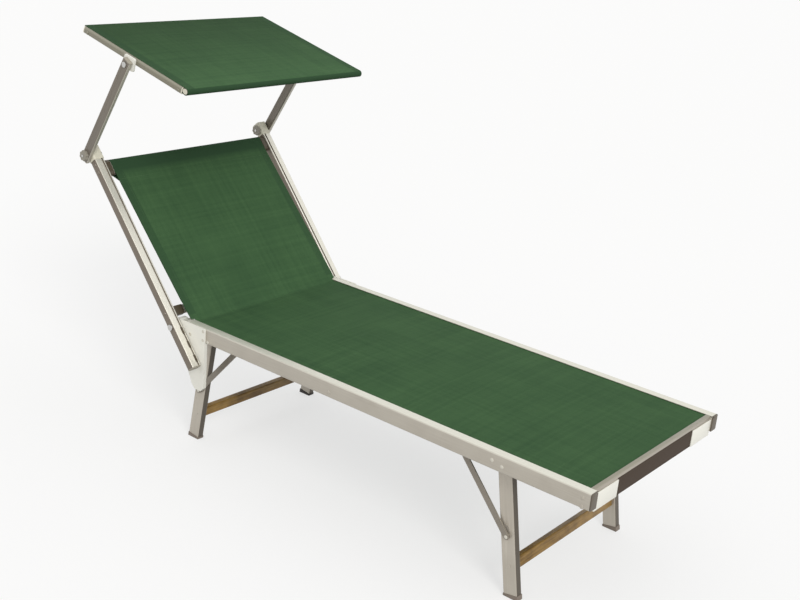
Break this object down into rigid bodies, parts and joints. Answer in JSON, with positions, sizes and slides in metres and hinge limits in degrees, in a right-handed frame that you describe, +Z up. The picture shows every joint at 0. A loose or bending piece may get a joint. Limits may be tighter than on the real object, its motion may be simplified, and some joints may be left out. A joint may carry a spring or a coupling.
{
  "type": "sun lounger with canopy",
  "caption": "Folding aluminium sun lounger with a woven sling, a reclining backrest and a tilting fabric canopy on two arms, on folding leg frames tied by wooden crossbars.",
  "frame": {"origin": "centre of the bounding box on the floor, with the backrest and the canopy as they are in the picture", "axes": "+X towards the foot end, +Y towards the lounger's left side, +Z up"},
  "size_m": [1.7204, 0.7436, 1.1417],
  "materials": {
    "aluminium_profile": "satin anodised profile",
    "white_plastic": "moulded, faintly glossy",
    "cream_plastic": "moulded",
    "grey_plastic": "moulded",
    "dark_plastic": "moulded",
    "sling_cloth": "woven coated mesh",
    "varnished_wood": "clear varnish",
    "steel_hardware": "zinc plated"
  },
  "bodies": {
    "seat_frame": {"centre_crossbar": "aluminium_profile", "corner_cap_left": "white_plastic", "corner_cap_right": "white_plastic", "foot_leg_bolt_left": "steel_hardware", "foot_leg_bolt_right": "steel_hardware", "foot_leg_bracket_left": "aluminium_profile", "foot_leg_bracket_right": "aluminium_profile", "foot_rail": "aluminium_profile", "head_leg_bolt_left": "steel_hardware", "head_leg_bolt_right": "steel_hardware", "head_leg_bracket_left": "aluminium_profile", "head_leg_bracket_right": "aluminium_profile", "hinge_bolt_left": "steel_hardware", "hinge_bolt_right": "steel_hardware", "hinge_plate_left": "white_plastic", "hinge_plate_right": "white_plastic", "rail_end_plug_left": "dark_plastic", "rail_end_plug_right": "dark_plastic", "rear_crossbar": "aluminium_profile", "seat_rail_left": "aluminium_profile", "seat_rail_right": "aluminium_profile", "seat_sling": "sling_cloth"},
    "backrest": {"back_bar_left": "aluminium_profile", "back_bar_right": "aluminium_profile", "back_lower_bar": "aluminium_profile", "back_top_bar": "aluminium_profile", "backrest_sling": "sling_cloth", "elbow_bolt_left": "steel_hardware", "elbow_bolt_right": "steel_hardware", "elbow_sleeve_left": "cream_plastic", "elbow_sleeve_right": "cream_plastic", "top_bar_bracket_left": "dark_plastic", "top_bar_bracket_right": "dark_plastic"},
    "canopy_arms": {"canopy_arm_left": "aluminium_profile", "canopy_arm_right": "aluminium_profile", "canopy_pivot_bolt_left": "steel_hardware", "canopy_pivot_bolt_right": "steel_hardware"},
    "right_knob": {"elbow_knob_right": "grey_plastic"},
    "left_knob": {"elbow_knob_left": "grey_plastic"},
    "canopy": {"canopy_back_bar": "aluminium_profile", "canopy_fabric": "sling_cloth", "canopy_front_bar": "aluminium_profile", "canopy_pivot_block_left": "white_plastic", "canopy_pivot_block_right": "white_plastic", "canopy_rail_left": "aluminium_profile", "canopy_rail_right": "aluminium_profile"},
    "foot_legs": {"foot_leg_crossbar": "varnished_wood", "foot_leg_foot_left": "dark_plastic", "foot_leg_foot_right": "dark_plastic", "foot_leg_left": "aluminium_profile", "foot_leg_right": "aluminium_profile"},
    "foot_braces": {"foot_brace_left": "aluminium_profile", "foot_brace_right": "aluminium_profile"},
    "head_legs": {"head_leg_crossbar": "varnished_wood", "head_leg_foot_left": "dark_plastic", "head_leg_foot_right": "dark_plastic", "head_leg_left": "aluminium_profile", "head_leg_right": "aluminium_profile"},
    "head_braces": {"head_brace_left": "aluminium_profile", "head_brace_right": "aluminium_profile"}
  },
  "joints": [
    {"name": "backrest_recline", "type": "hinge", "parent": "seat_frame", "child": "backrest", "pos_m": [-0.4698, 0, 0.372], "axis": [0, 1, 0], "range_deg": [-49, 28]},
    {"name": "canopy_arm_swing", "type": "hinge", "parent": "backrest", "child": "canopy_arms", "pos_m": [-0.82867, 0, 0.78483], "axis": [0, 1, 0], "range_deg": [-70, 45]},
    {"name": "canopy_tilt", "type": "hinge", "parent": "canopy_arms", "child": "canopy", "pos_m": [-0.65971, 0, 1.06713], "axis": [0, 1, 0], "range_deg": [-60, 60]},
    {"name": "right_knob_turn", "type": "hinge", "parent": "backrest", "child": "right_knob", "pos_m": [-0.82867, 0, 0.78483], "axis": [0, 1, 0], "continuous": true},
    {"name": "left_knob_turn", "type": "hinge", "parent": "backrest", "child": "left_knob", "pos_m": [-0.82867, 0, 0.78483], "axis": [0, 1, 0], "continuous": true},
    {"name": "foot_legs_fold", "type": "hinge", "parent": "seat_frame", "child": "foot_legs", "pos_m": [0.5917, 0, 0.346], "axis": [0, 1, 0], "range_deg": [0, 100.5]},
    {"name": "foot_braces_fold", "type": "hinge", "parent": "foot_legs", "child": "foot_braces", "pos_m": [0.62635, 0, 0.159], "axis": [0, -1, 0], "range_deg": [-1, 150.1]},
    {"name": "head_legs_fold", "type": "hinge", "parent": "seat_frame", "child": "head_legs", "pos_m": [-0.4241, 0, 0.346], "axis": [0, -1, 0], "range_deg": [0, 98.5]},
    {"name": "head_braces_fold", "type": "hinge", "parent": "head_legs", "child": "head_braces", "pos_m": [-0.4519, 0, 0.16], "axis": [0, 1, 0], "range_deg": [-1, 147.7]}
  ],
  "couplings": [
    {"joint": "foot_braces_fold", "follows": "foot_legs_fold", "ratio": 1.4831},
    {"joint": "head_braces_fold", "follows": "head_legs_fold", "ratio": 1.4897}
  ]
}
